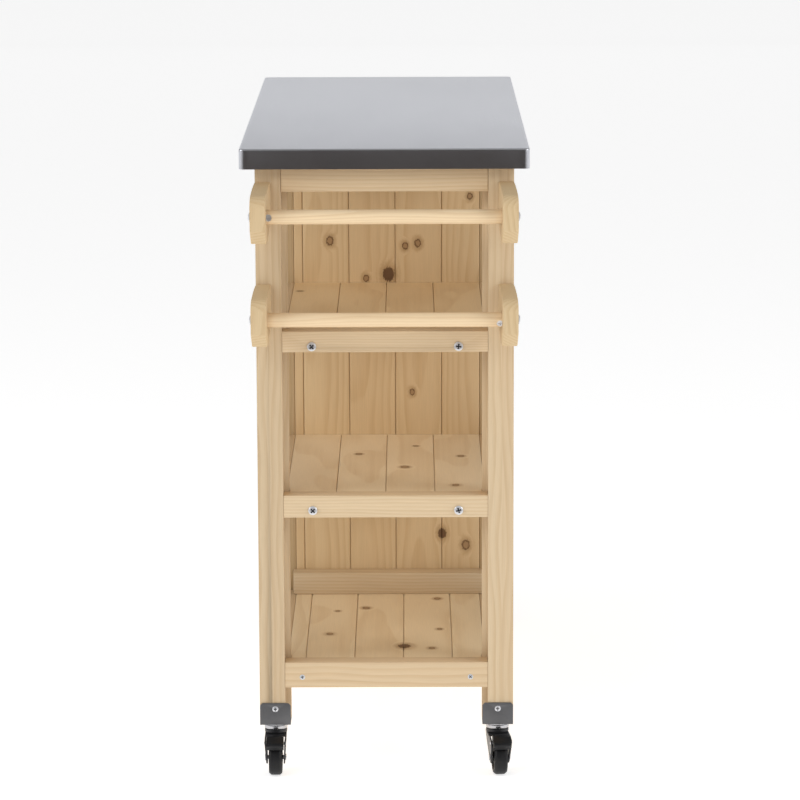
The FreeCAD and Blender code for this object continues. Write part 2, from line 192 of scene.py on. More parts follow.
def mixColor(tree, factor, a, b, blend="MIX"):
    node = addNode(tree, "ShaderNodeMix", {"data_type": "RGBA", "blend_type": blend})
    for index, value in ((0, factor), (6, a), (7, b)):
        if isinstance(value, bpy.types.NodeSocket):
            tree.links.new(value, node.inputs[index])
        else:
            node.inputs[index].default_value = value
    return node.outputs[2]


def smoothRange(tree, value, low, high, outLow=0.0, outHigh=1.0):
    node = addNode(tree, "ShaderNodeMapRange", {"interpolation_type": "SMOOTHSTEP"}, Value=value)
    node.inputs["From Min"].default_value = low
    node.inputs["From Max"].default_value = high
    node.inputs["To Min"].default_value = outLow
    node.inputs["To Max"].default_value = outHigh
    return node.outputs["Result"]


def startMaterial(name):
    material = bpy.data.materials.new(name)
    material.use_nodes = True
    tree = material.node_tree
    return material, tree, addNode(tree, "ShaderNodeTexCoord").outputs["Object"]


def surface(tree, color, rough, height, strength, distance):
    # joins the color, roughness and bump to the shader
    shader = tree.nodes["Principled BSDF"]
    bump = addNode(tree, "ShaderNodeBump", None, Strength=strength, Distance=distance, Height=height)
    tree.links.new(color, shader.inputs["Base Color"])
    tree.links.new(rough, shader.inputs["Roughness"])
    tree.links.new(bump.outputs["Normal"], shader.inputs["Normal"])
    return shader


# pine

pine = dict(
    ringSpacing=0.0050,
    pithDepth=0.046,
    waver=0.0085,
    paleWood=(0.720, 0.560, 0.362),
    lateWood=(0.585, 0.405, 0.225),
    tintWood=(0.57, 0.375, 0.205),
    knotHalo=(0.40, 0.235, 0.105),
    knotRim=(0.115, 0.055, 0.022),
    knotHeart=(0.30, 0.165, 0.07),
    darkHeart=(0.13, 0.065, 0.030),
    roughness=0.55,
    bumpStrength=0.32,
    bumpDepth=0.0004,
    specular=0.35,
    knotLength=0.78,      # a knot's width over its length along the grain
)

# across, face and along axes of the grain for pieces that run each way
grainAxes = {"X": "YZX", "Y": "XZY", "Z": "XYZ"}


def pineMaterial(name, run, seed, toneAndPaintedLight=1.0, hueAndBounce=(1.0, 1.0, 1.0), boardStart=-5.0, boardPitch=10.0, knots=(),
                 ringScale=1.0, flip=False):
    # run is the way of the grain; a pitch over one metre means a single board
    material, tree, place = startMaterial(name)
    split = addNode(tree, "ShaderNodeSeparateXYZ", None, s0=place).outputs
    order = grainAxes[run]
    if flip:
        order = order[1] + order[0] + order[2]
    across, face, along = (split["XYZ".index(axis)] for axis in order)
    # each board of a row gets its own piece of the tree
    board = calc(tree, "FLOOR", calc(tree, "DIVIDE", calc(tree, "SUBTRACT", across, boardStart), boardPitch))
    draw = addNode(tree, "ShaderNodeTexWhiteNoise", {"noise_dimensions": "1D"},
                   W=calc(tree, "ADD", board, seed * 7.31)).outputs
    shift = addNode(tree, "ShaderNodeSeparateXYZ", None, s0=draw["Color"]).outputs
    local = across
    if boardPitch <= 1:
        boardMiddle = calc(tree, "MULTIPLY_ADD", board, boardPitch, boardStart + boardPitch / 2)
        local = calc(tree, "SUBTRACT", across, boardMiddle)
    u = calc(tree, "ADD", local, calc(tree, "MULTIPLY_ADD", shift[0], 0.06, -0.03))
    v = calc(tree, "ADD", face, calc(tree, "MULTIPLY", shift[1], 0.05))
    w = calc(tree, "ADD", along, calc(tree, "MULTIPLY", shift[2], 3.0))
    grainPlace = addNode(tree, "ShaderNodeCombineXYZ", None, s0=u, s1=v, s2=w).outputs[0]
    longPlace = vectorCalc(tree, "MULTIPLY", grainPlace, (1.0, 1.0, 0.12))
    # the knots: distance to the nearest one, in knot radii, and to the nearest dark one
    nearest = nearestDark = None
    for knotAcross, knotAlong, radius, *dark in knots:
        flat = addNode(tree, "ShaderNodeCombineXYZ", None, s0=across, s1=along).outputs[0]
        away = vectorCalc(tree, "SUBTRACT", flat, (knotAcross, knotAlong, 0))
        away = vectorCalc(tree, "MULTIPLY", away, (1 / radius, pine["knotLength"] / radius, 0))
        distance = vectorCalc(tree, "LENGTH", away, (0, 0, 0))
        nearest = distance if nearest is None else calc(tree, "MINIMUM", nearest, distance)
        if dark:
            nearestDark = distance if nearestDark is None else calc(tree, "MINIMUM", nearestDark, distance)
    waver = stretchedNoise(tree, longPlace, (9, 9, 22))
    ripple = stretchedNoise(tree, longPlace, (60, 60, 60))
    bend = calc(tree, "MULTIPLY_ADD", waver, pine["waver"] * 2.2, calc(tree, "MULTIPLY", ripple, 0.0012))
    if nearest is not None:
        ragged = stretchedNoise(tree, grainPlace, (700, 700, 300), 1.0)
        ragged = calc(tree, "MULTIPLY_ADD", ragged, 0.7, -0.35)
        nearest = calc(tree, "ADD", nearest, ragged)
        nearestDark = nearestDark and calc(tree, "ADD", nearestDark, ragged)
        swirl = smoothRange(tree, nearest, 0.6, 3.0, 1.0, 0.0)
        bend = calc(tree, "MULTIPLY_ADD", swirl, 0.0055, bend)
    depth = calc(tree, "ADD", v, calc(tree, "MULTIPLY_ADD", shift[0], 0.02, pine["pithDepth"]))
    squares = calc(tree, "ADD", calc(tree, "MULTIPLY", u, u), calc(tree, "MULTIPLY", depth, depth))
    fromPith = calc(tree, "SQRT", squares)
    turns = calc(tree, "DIVIDE", calc(tree, "ADD", fromPith, bend), pine["ringSpacing"] * ringScale)
    ringPart = calc(tree, "FRACT", turns)
    late = calc(tree, "MULTIPLY", smoothRange(tree, ringPart, 0.25, 0.86),
                smoothRange(tree, ringPart, 0.9, 1.0, 1.0, 0.0))
    ringShade = stretchedNoise(tree, longPlace, (160, 160, 10), 1.0)
    late = calc(tree, "MULTIPLY", late, calc(tree, "MULTIPLY_ADD", ringShade, 1.0, 0.12))
    fibre = stretchedNoise(tree, grainPlace, (1300, 1300, 26), 3.0, 0.6)
    mottle = stretchedNoise(tree, longPlace, (26, 26, 30))
    color = mixColor(tree, calc(tree, "MULTIPLY", late, 0.62), (*pine["paleWood"], 1), (*pine["lateWood"], 1))
    tint = calc(tree, "MULTIPLY_ADD", shift[1], 0.34, calc(tree, "MULTIPLY_ADD", mottle, 0.34, -0.14))
    tint = addNode(tree, "ShaderNodeClamp", None, Value=tint).outputs[0]
    color = mixColor(tree, calc(tree, "MULTIPLY", tint, 0.55), color, (*pine["tintWood"], 1))
    # the tone scales the whole colour: the wood's own lightness, and painted light and shade where a piece is
    # lifted or darkened for how light falls on it
    streak = calc(tree, "MULTIPLY_ADD", fibre, 0.22, 0.89 * toneAndPaintedLight)
    color = mixColor(tree, 1.0, color, vectorCalc(tree, "MULTIPLY", greyVector(tree, streak), hueAndBounce), "MULTIPLY")
    height = calc(tree, "MULTIPLY_ADD", late, 0.5, calc(tree, "MULTIPLY", fibre, 0.5))
    rough = calc(tree, "MULTIPLY_ADD", fibre, 0.12, pine["roughness"] - 0.06)
    if nearest is not None:
        color = mixColor(tree, smoothRange(tree, nearest, 0.9, 2.4, 0.6, 0.0), color, (*pine["knotHalo"], 1))
        color = mixColor(tree, smoothRange(tree, nearest, 0.5, 0.9, 0.6, 0.0), color, (*pine["knotHeart"], 1))
        rim = calc(tree, "MULTIPLY", smoothRange(tree, nearest, 0.5, 0.78),
                   smoothRange(tree, nearest, 0.9, 1.15, 1.0, 0.0))
        if nearestDark is not None:
            darkness = smoothRange(tree, nearestDark, 0.55, 1.15, 0.9, 0.0)
            color = mixColor(tree, darkness, color, (*pine["darkHeart"], 1))
        color = mixColor(tree, calc(tree, "MULTIPLY", rim, 0.8), color, (*pine["knotRim"], 1))
        height = calc(tree, "ADD", height, calc(tree, "MULTIPLY", rim, -0.8))
    shader = surface(tree, color, rough, height, pine["bumpStrength"], pine["bumpDepth"])
    shader.inputs["Specular IOR Level"].default_value = pine["specular"]
    return material


# metals, paint, rubber and plastic, and the painted shade of the cross recesses

worktopSteel = dict(name="topSteel", color=(0.66, 0.67, 0.71), roughness=0.30)
finishesAndRecessShade = dict(
    zinc=dict(name="brightZinc", color=(0.74, 0.75, 0.78), roughness=0.34, metallic=0.55, grain=700,
              depth=0.00003, strength=0.15, spread=0.12),
    # painted shade: a near-black for the inside of the fasteners' cross recesses, where shade falls
    recess=dict(name="recessShade", color=(0.045, 0.045, 0.048), roughness=0.6, metallic=0.3),
    plate=dict(name="plateGrey", color=(0.135, 0.135, 0.14), roughness=0.42, metallic=0.35, grain=1400,
               depth=0.00008, strength=0.3, spread=0.3),
    fork=dict(name="forkGrey", color=(0.045, 0.045, 0.048), roughness=0.36, metallic=0.5, grain=1600,
              depth=0.00005, strength=0.25, spread=0.3),
    race=dict(name="raceSteel", color=(0.50, 0.50, 0.52), roughness=0.18, metallic=1.0, grain=900,
              depth=0.00003, strength=0.1, spread=0.12),
    rubber=dict(name="wheelRubber", color=(0.010, 0.010, 0.011), roughness=0.5, grain=2200,
                depth=0.00008, strength=0.3, spread=0.5, specular=0.28),
    plastic=dict(name="pedalPlastic", color=(0.008, 0.008, 0.009), roughness=0.42, grain=2600,
                 depth=0.00006, strength=0.3, spread=0.4, specular=0.28),
)


def brushedSteel(name, color, roughness):
    # brushed along the length of the worktop
    material, tree, place = startMaterial(name)
    scratch = stretchedNoise(tree, place, (2600, 6, 2600), 3.0, 0.65)
    cloud = stretchedNoise(tree, place, (9, 5, 9), 3.0)
    fleck = stretchedNoise(tree, place, (120, 120, 120))
    shade = calc(tree, "MULTIPLY_ADD", scratch, 0.10, calc(tree, "MULTIPLY_ADD", cloud, 0.06, 0.92))
    clouded = calc(tree, "MULTIPLY_ADD", cloud, 0.06, roughness - 0.10)
    rough = calc(tree, "MULTIPLY_ADD", scratch, 0.16, clouded)
    rough = calc(tree, "ADD", rough, calc(tree, "MULTIPLY", smoothRange(tree, fleck, 0.62, 0.75), 0.03))
    shaded = mixColor(tree, 1.0, (*color, 1), greyVector(tree, shade), "MULTIPLY")
    shader = surface(tree, shaded, rough, scratch, 0.12, 0.00005)
    shader.inputs["Metallic"].default_value = 1.0
    return material


def speckled(name, color, roughness, metallic=0.0, grain=900.0, depth=0.00006, strength=0.25, spread=0.25,
             specular=0.5):
    material, tree, place = startMaterial(name)
    fine = noise(tree, place, grain, 3.0, 0.6)
    broad = noise(tree, place, 45.0, 3.0, 0.55)
    fineShade = calc(tree, "MULTIPLY_ADD", fine, spread * 0.5, 1 - spread * 0.75)
    shade = calc(tree, "MULTIPLY_ADD", broad, spread, fineShade)
    rough = calc(tree, "MULTIPLY_ADD", broad, 0.16, roughness - 0.08)
    shaded = mixColor(tree, 1.0, (*color, 1), greyVector(tree, shade), "MULTIPLY")
    shader = surface(tree, shaded, rough, fine, strength, depth)
    shader.inputs["Metallic"].default_value = metallic
    shader.inputs["Specular IOR Level"].default_value = specular
    return material


# meshes

def finishMesh(name, bm, material, body, angle=35.0):
    mesh = bpy.data.meshes.new(name)
    bm.to_mesh(mesh)
    bm.free()
    mesh.materials.append(material)
    mesh.shade_smooth()
    mesh.set_sharp_from_angle(angle=math.radians(angle))
    piece = bpy.data.objects.new(name, mesh)
    bpy.context.scene.collection.objects.link(piece)
    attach(piece, body)
    return piece


def softened(node, material, edge=0.0012, steps=2):
    # a copy of the CAD piece with its sharp edges eased
    sharp = math.radians(30)
    bm = bmesh.new()
    bm.from_mesh(frame["nodes"][node].data)
    bmesh.ops.remove_doubles(bm, verts=bm.verts, dist=0.00001)
    bmesh.ops.dissolve_limit(bm, angle_limit=math.radians(0.8), verts=bm.verts, edges=bm.edges)
    edges = [e for e in bm.edges if len(e.link_faces) == 2
             and sharp < e.calc_face_angle(0) < math.pi]
    bmesh.ops.bevel(bm, geom=edges, offset=edge, segments=steps, profile=0.5, affect="EDGES",
                    clamp_overlap=True)
    for f in bm.faces:
        f.material_index = 0
    piece = finishMesh(node + "_piece", bm, material, nodeBody[node])
    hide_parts(node)
    return piece


def endPieces(boards, k, end):
    # the legs, rails and shelf boards of one end
    for j, side in enumerate(("left", "right")):
        number = 2 * k + j
        wood = pineMaterial(f"legPine{number}", "Z", 3 + 5 * number, woodToneAndPaintedLight[f"{side}Leg"],
                            boardStart=-0.4875, boardPitch=0.325, ringScale=0.8)
        softened(f"leg_{end}_{side}", wood, 0.0016)
    softened(f"top_end_rail_{end}", pineMaterial(f"topRailPine{k}", "X", 61 + k, flip=True), 0.0014)
    for j, level in enumerate(levels):
        wood = pineMaterial(f"{level}RailPine{k}", "X", 71 + 3 * k + j, woodToneAndPaintedLight["rail"], flip=True, ringScale=0.7)
        softened(f"{level}_rail_{end}", wood, 0.0016)
        wood = pineMaterial(f"{level}BoardPine{k}", "Y", 81 + 3 * k + j, *shelfPaintedLiftAndHue[level],
                            **boardRows[level], knots=shelfKnots[(level, end)])
        legLow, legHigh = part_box(f"leg_{end}_right")
        notchY = legHigh.y + boardSizes["fit"] if end == "front" else legLow.y - boardSizes["fit"]
        makeBoards(boards, level, f"{level}_boards_{end}", wood, legLow.x - boardSizes["fit"], notchY)


def woodenPieces():
    boards = boardTree("tongueAndGrooveBoards")
    for k, end in enumerate(("front", "back")):
        endPieces(boards, k, end)
    for k, side in enumerate(("left", "right")):
        wood = pineMaterial(f"postPine{k}", "Z", 41 + k, woodToneAndPaintedLight["post"], boardHueAndBounce)
        softened(f"middle_post_{side}", wood, 0.0014)
        softened(f"top_side_rail_{side}", pineMaterial(f"sideRailPine{k}", "Y", 51 + k), 0.0012)
    for j, level in enumerate(levels):
        wood = pineMaterial(f"{level}SidePine", "Y", 91 + j, woodToneAndPaintedLight["sideRail"], boardStart=-0.3, boardPitch=0.3)
        softened(f"{level}_side_rails", wood, 0.0014)
    wood = pineMaterial("dividerPine", "Z", 101, woodToneAndPaintedLight["divider"], boardHueAndBounce, **boardRows["divider"],
                        knots=dividerKnots)
    makeBoards(boards, "divider", "divider_planks", wood)
    softened("divider_top_rail", pineMaterial("dividerRailPine", "X", 103), 0.0012)
    wood = pineMaterial("footBattenPine", "X", 105, woodToneAndPaintedLight["batten"], flip=True)
    softened("divider_foot_batten", wood, 0.0014)
    softened("shelf_bearers", pineMaterial("bearerPine", "Y", 107), 0.001)
    softened("worktop_core", pineMaterial("coreBoard", "Y", 201, woodToneAndPaintedLight["core"]), 0.0006, 1)
    for k, row in enumerate(("upper", "lower")):
        wood = pineMaterial(f"rodPine{k}", "X", 111 + k, woodToneAndPaintedLight["rod"], ringScale=0.8)
        softened(f"towel_rod_{row}", wood, 0.0008)
        for j, side in enumerate(("left", "right")):
            wood = pineMaterial(f"earPine{k}{j}", "Z", 121 + 2 * k + j, woodToneAndPaintedLight["ear"], earHue, ringScale=0.75,
                                flip=True)
            softened(f"ear_{row}_{side}", wood, 0.0022, 3)
    print("wood done")


levels = ("upper", "middle", "bottom")

# how light each piece's wood is; part of this is painted light: the rods are lifted to stand in for the light
# falling on them from above, and the middle posts are darkened as painted shade in the narrow recesses beside
# the shelves
woodToneAndPaintedLight = dict(leftLeg=0.90, rightLeg=0.96, rail=1.03, post=0.72, sideRail=0.90, divider=0.98, batten=0.86,
             core=0.7, rod=1.24, ear=0.94)
earHue = (1.0, 0.98, 0.9)

# the boards are a warmer cut than the frame; part of this warmth is painted bounce light, the warm colour that
# light picks up between the wood inside the bays
boardHueAndBounce = (1.0, 0.96, 0.86)
# each shelf's tone and hue; the tones above one are painted light, lifting the shelf tops against the shade
# inside the bays
shelfPaintedLiftAndHue = {
    "upper": (1.10, boardHueAndBounce),
    "middle": (1.16, (1.0, 1.05, 1.10)),
    "bottom": (1.17, (1.0, 1.04, 1.06)),
}

# where each row of boards starts, and how far apart its joints are
boardRows = {
    "upper": dict(boardStart=-0.2776, boardPitch=0.0694),
    "middle": dict(boardStart=-0.2776, boardPitch=0.0694),
    "bottom": dict(boardStart=-0.1838, boardPitch=0.0694),
    "divider": dict(boardStart=-0.1954, boardPitch=0.0694),
}

# knots as (across, along, radius), with True added for a dark one
dividerKnots = [
    (-0.085, 0.699, 0.0055), (-0.031, 0.642, 0.0042), (0.003, 0.648, 0.0085, True), (0.028, 0.691, 0.0045),
    (0.047, 0.695, 0.0050), (0.125, 0.766, 0.0042), (0.038, 0.468, 0.0040), (0.083, 0.249, 0.0060, True),
    (0.119, 0.231, 0.0060), (-0.108, 0.560, 0.0028), (-0.060, 0.320, 0.0030),
]
shelfKnots = {
    ("upper", "front"): [(-0.128, -0.079, 0.0045), (0.052, -0.290, 0.0040)],
    ("middle", "front"): [(-0.041, -0.148, 0.0050), (0.043, -0.088, 0.0040), (0.027, -0.245, 0.0060),
                          (0.109, -0.165, 0.0050), (0.099, -0.375, 0.0050)],
    ("bottom", "front"): [(-0.074, -0.138, 0.0035), (-0.083, -0.279, 0.0050), (-0.032, -0.119, 0.0055),
                          (0.025, -0.352, 0.0090, True), (0.065, -0.364, 0.0045), (0.077, -0.251, 0.0040),
                          (0.075, -0.060, 0.0050)],
    ("upper", "back"): [(-0.090, 0.200, 0.0055), (0.040, 0.370, 0.0045), (0.110, 0.120, 0.0040)],
    ("middle", "back"): [(-0.030, 0.310, 0.0060), (0.095, 0.180, 0.0050)],
    ("bottom", "back"): [(-0.100, 0.260, 0.0050), (0.015, 0.420, 0.0070), (0.120, 0.330, 0.0045)],
}


# worktop

worktopSizes = dict(
    bend=0.0022,          # radius of the folds along the top
    corner=0.0070,        # radius of the upright corners
    tabWidth=0.0125,      # the side skirts' ends, wrapped round onto the end skirts
    tabProud=0.0006,
    thickness=0.0010,
    tabLap=0.0002,        # how far a tab reaches into the sheet
    tabSteps=12,
)


def roundedBox(bm, low, high, corner, bend):
    made = bmesh.ops.create_cube(bm, size=1.0)
    for v in made["verts"]:
        v.co = Vector([high[i] if v.co[i] > 0 else low[i] for i in range(3)])
    upright = [e for e in bm.edges if abs(e.verts[0].co.z - e.verts[1].co.z) > 0.005]
    bmesh.ops.bevel(bm, geom=upright, offset=corner, segments=8, profile=0.5, affect="EDGES")
    rim = [e for e in bm.edges if min(v.co.z for v in e.verts) > high.z - 0.0001]
    bmesh.ops.bevel(bm, geom=rim, offset=bend, segments=5, profile=0.5, affect="EDGES")
    bmesh.ops.delete(bm, geom=[f for f in bm.faces if f.normal.z < -0.9], context="FACES_ONLY")


def makeWorktop(steel):
    s = worktopSizes
    low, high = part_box("worktop_sheet")
    inset = Vector((0, s["tabProud"], 0))
    t = s["thickness"]
    bm = bmesh.new()
    roundedBox(bm, low + inset, high - inset, s["corner"], s["bend"])
    inner = bmesh.new()
    roundedBox(inner, low + inset + Vector((t, t, 0)), high - inset - Vector((t, t, t)),
               s["corner"] - t, s["bend"] - t)
    bmesh.ops.reverse_faces(inner, faces=inner.faces)
    spare = bpy.data.meshes.new("spare")
    inner.to_mesh(spare)
    inner.free()
    bm.from_mesh(spare)
    bpy.data.meshes.remove(spare)
    rims = [e for e in bm.edges if e.is_boundary]
    bmesh.ops.bridge_loops(bm, edges=rims)
    bmesh.ops.recalc_face_normals(bm, faces=bm.faces)
    for atY, out in ((low.y, -1), (high.y, 1)):
        for atX, side in ((low.x, 1), (high.x, -1)):
            addTab(bm, atX, atY, side, out, low.z, high.z - s["bend"])
    piece = finishMesh("worktop_skin", bm, steel, "cart", 40)
    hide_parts("worktop_sheet")
    print("worktop done")


def addTab(bm, atX, atY, side, out, z0, z1):
    # a thin curved plate from the side skirt, round the corner and along the end skirt
    s = worktopSizes
    outerRadius = s["corner"] + s["tabProud"]
    centre = Vector((atX + side * outerRadius, atY - out * outerRadius))
    outer, inner = [], []
    for k in range(s["tabSteps"] + 1):
        turn = math.radians(90 * k / s["tabSteps"])
        away = Vector((-side * math.cos(turn), out * math.sin(turn)))
        outer.append(centre + away * outerRadius)
        inner.append(centre + away * (outerRadius - s["tabProud"] - s["tabLap"] * k / s["tabSteps"]))
    outer.append(Vector((atX + side * s["tabWidth"], atY)))
    inner.append(Vector((atX + side * s["tabWidth"], atY - out * (s["tabProud"] + s["tabLap"]))))
    ring = outer + inner[::-1]
    floor = [bm.verts.new((p.x, p.y, z0 + 0.0001)) for p in ring]
    face = bm.faces.new(floor)
    raised = bmesh.ops.extrude_face_region(bm, geom=[face])
    lifted = [g for g in raised["geom"] if isinstance(g, bmesh.types.BMVert)]
    bmesh.ops.translate(bm, vec=(0, 0, z1 - z0 - 0.0002), verts=lifted)
    every = {f for v in floor + lifted for f in v.link_faces}
    bmesh.ops.recalc_face_normals(bm, faces=list(every))


# boards of the shelves and the divider, grown by geometry nodes

boardSizes = dict(
    thickness=0.012,
    gap=0.0008,
    ease=0.0010,
    tongue=0.004,         # thickness of a tongue
    tongueStart=0.004,    # from a board's underside to its tongue
    tongueEnd=0.001,      # how far a tongue stops short of the board's ends
    half=0.1388,          # from the middle to the outer edges of a shelf's boards
    fit=0.0003,           # between a board's notch and the leg
)


def growthTree(name, inputs):
    # an empty geometry nodes tree with these inputs after its geometry
    tree = bpy.data.node_groups.new(name, "GeometryNodeTree")
    tree.interface.new_socket("Geometry", in_out="INPUT", socket_type="NodeSocketGeometry")
    tree.interface.new_socket("Geometry", in_out="OUTPUT", socket_type="NodeSocketGeometry")
    for label, kind in inputs.items():
        tree.interface.new_socket(label, in_out="INPUT", socket_type="NodeSocket" + kind)
    return tree, tree.nodes.new("NodeGroupInput").outputs, tree.nodes.new("NodeGroupOutput").inputs[0]


def named(tree, label, kind="FLOAT"):
    return addNode(tree, "GeometryNodeInputNamedAttribute", {"data_type": kind}, Name=label).outputs[0]


def boardTree(name):
    tree, start, end = growthTree(name, {"Eased Edge": "Float", "Wood": "Material"})
    ease = calc(tree, "MULTIPLY", start["Eased Edge"], named(tree, "eased"))
    flipped = addNode(tree, "GeometryNodeFlipFaces", None, Mesh=start["Geometry"]).outputs[0]
    body = addNode(tree, "GeometryNodeExtrudeMesh", {"mode": "FACES"}, Mesh=start["Geometry"])
    tree.links.new(calc(tree, "SUBTRACT", named(tree, "thick"), ease), body.inputs["Offset Scale"])
    eased = addNode(tree, "GeometryNodeExtrudeMesh", {"mode": "FACES"}, Mesh=body.outputs["Mesh"],
                    Selection=body.outputs["Top"])
    tree.links.new(ease, eased.inputs["Offset Scale"])
    lost = calc(tree, "DIVIDE", calc(tree, "MULTIPLY", ease, 2.0), named(tree, "wide"))
    shrink = calc(tree, "SUBTRACT", 1.0, lost)
    scaled = addNode(tree, "GeometryNodeScaleElements", {"domain": "FACE", "scale_mode": "SINGLE_AXIS"},
                     Geometry=eased.outputs["Mesh"], Selection=eased.outputs["Top"], Scale=shrink)
    scaled.inputs["Axis"].default_value = (1, 0, 0)
    join = tree.nodes.new("GeometryNodeJoinGeometry")
    tree.links.new(scaled.outputs[0], join.inputs[0])
    tree.links.new(flipped, join.inputs[0])
    whole = addNode(tree, "GeometryNodeMergeByDistance", None, Geometry=join.outputs[0], Distance=0.00001)
    real = addNode(tree, "GeometryNodeRealizeInstances", None, Geometry=whole.outputs[0]).outputs[0]
    done = addNode(tree, "GeometryNodeSetMaterial", None, Geometry=real, Material=start["Wood"]).outputs[0]
    tree.links.new(done, end)
    return tree


def boardOutlines(row, node, notchX=0.0, notchY=0.0):
    # plan outlines of the boards and of the tongues in their gaps, as (corners, thick, wide, start, eased)
    low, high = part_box(node)
    b = boardSizes
    upright = row == "divider"
    half = b["half"] if not upright else high.x
    pitch, first = boardRows[row]["boardPitch"], boardRows[row]["boardStart"]
    joints = [first + k * pitch for k in range(12) if -half + 0.004 < first + k * pitch < half - 0.004]
    edges = [-half - b["gap"] / 2, *joints, half + b["gap"] / 2]
    c0, c1 = (low.z, high.z) if upright else (low.y, high.y)
    outlines = []
    for k in range(len(edges) - 1):
        x0, x1 = edges[k] + b["gap"] / 2, edges[k + 1] - b["gap"] / 2
        corners = [(x0, c0), (x1, c0), (x1, c1), (x0, c1)]
        if notchX and (x0 < -notchX or x1 > notchX):
            corners = notched(x0, x1, c0, c1, notchX, notchY)
        outlines.append((corners, b["thickness"], x1 - x0, 0.0, 1.0))
        if k:
            x = edges[k]
            x0, x1, y0, y1 = x - b["gap"] / 2, x + b["gap"] / 2, c0 + b["tongueEnd"], c1 - b["tongueEnd"]
            strip = [(x0, y0), (x1, y0), (x1, y1), (x0, y1)]
            outlines.append((strip, b["tongue"], b["gap"], b["tongueStart"], 0.0))
    return outlines, upright, low, high


def notched(x0, x1, y0, y1, notchX, notchY):
    # a side board, cut back round the leg at its outer end
    if notchY < (y0 + y1) / 2:
        if x0 < 0:
            return [(-notchX, y0), (x1, y0), (x1, y1), (x0, y1), (x0, notchY), (-notchX, notchY)]
        return [(x0, y0), (notchX, y0), (notchX, notchY), (x1, notchY), (x1, y1), (x0, y1)]
    if x0 < 0:
        return [(x0, y0), (x1, y0), (x1, y1), (-notchX, y1), (-notchX, notchY), (x0, notchY)]
    return [(x0, y0), (x1, y0), (x1, notchY), (notchX, notchY), (notchX, y1), (x0, y1)]


def makeBoards(tree, row, node, wood, notchX=0.0, notchY=0.0):
    outlines, upright, low, high = boardOutlines(row, node, notchX, notchY)
    verts, faces = [], []
    for corners, thick, wide, start, eased in outlines:
        faces.append(list(range(len(verts), len(verts) + len(corners))))
        # the divider's boards grow towards -Y, the shelves' upwards
        verts += [(a, high.y - start, c) if upright else (a, c, low.z + start) for a, c in corners]
    mesh = bpy.data.meshes.new(node + "Plan")
    mesh.from_pydata(verts, [], faces)
    for label in ("thick", "wide", "eased"):
        mesh.attributes.new(label, "FLOAT", "FACE")
    for label, place in (("thick", 1), ("wide", 2), ("eased", 4)):
        for k, outline in enumerate(outlines):
            mesh.attributes[label].data[k].value = outline[place]
    holder = bpy.data.objects.new(node + "Plan", mesh)
    bpy.context.scene.collection.objects.link(holder)
    piece = grown(holder, tree, {"Eased Edge": boardSizes["ease"], "Wood": wood}, node + "_grown", wood,
                  nodeBody[node])
    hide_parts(node)


# fasteners, set out by geometry nodes

bolt = dict(radius=0.0063, height=0.003, dome=0.0016, reach=0.0036, slot=0.0017, shank=0.003)
screw = dict(reach=0.0023, slot=0.0011, shank=0.0018)
heads = {
    "shelf_bolts": dict(bolt, length=0.050),
    "rod_bolts": dict(bolt, length=0.034),
    "plate_screws": dict(screw, radius=0.0042, height=0.0018, dome=0.0010, length=0.015),
    "rail_screws": dict(screw, radius=0.0038, height=0.0004, dome=0.0001, length=0.046),
}
headInputs = dict(radius="Head Radius", height="Head Height", dome="Dome", reach="Recess Reach",
                  slot="Slot Width", shank="Shank Radius", length="Shank Length")


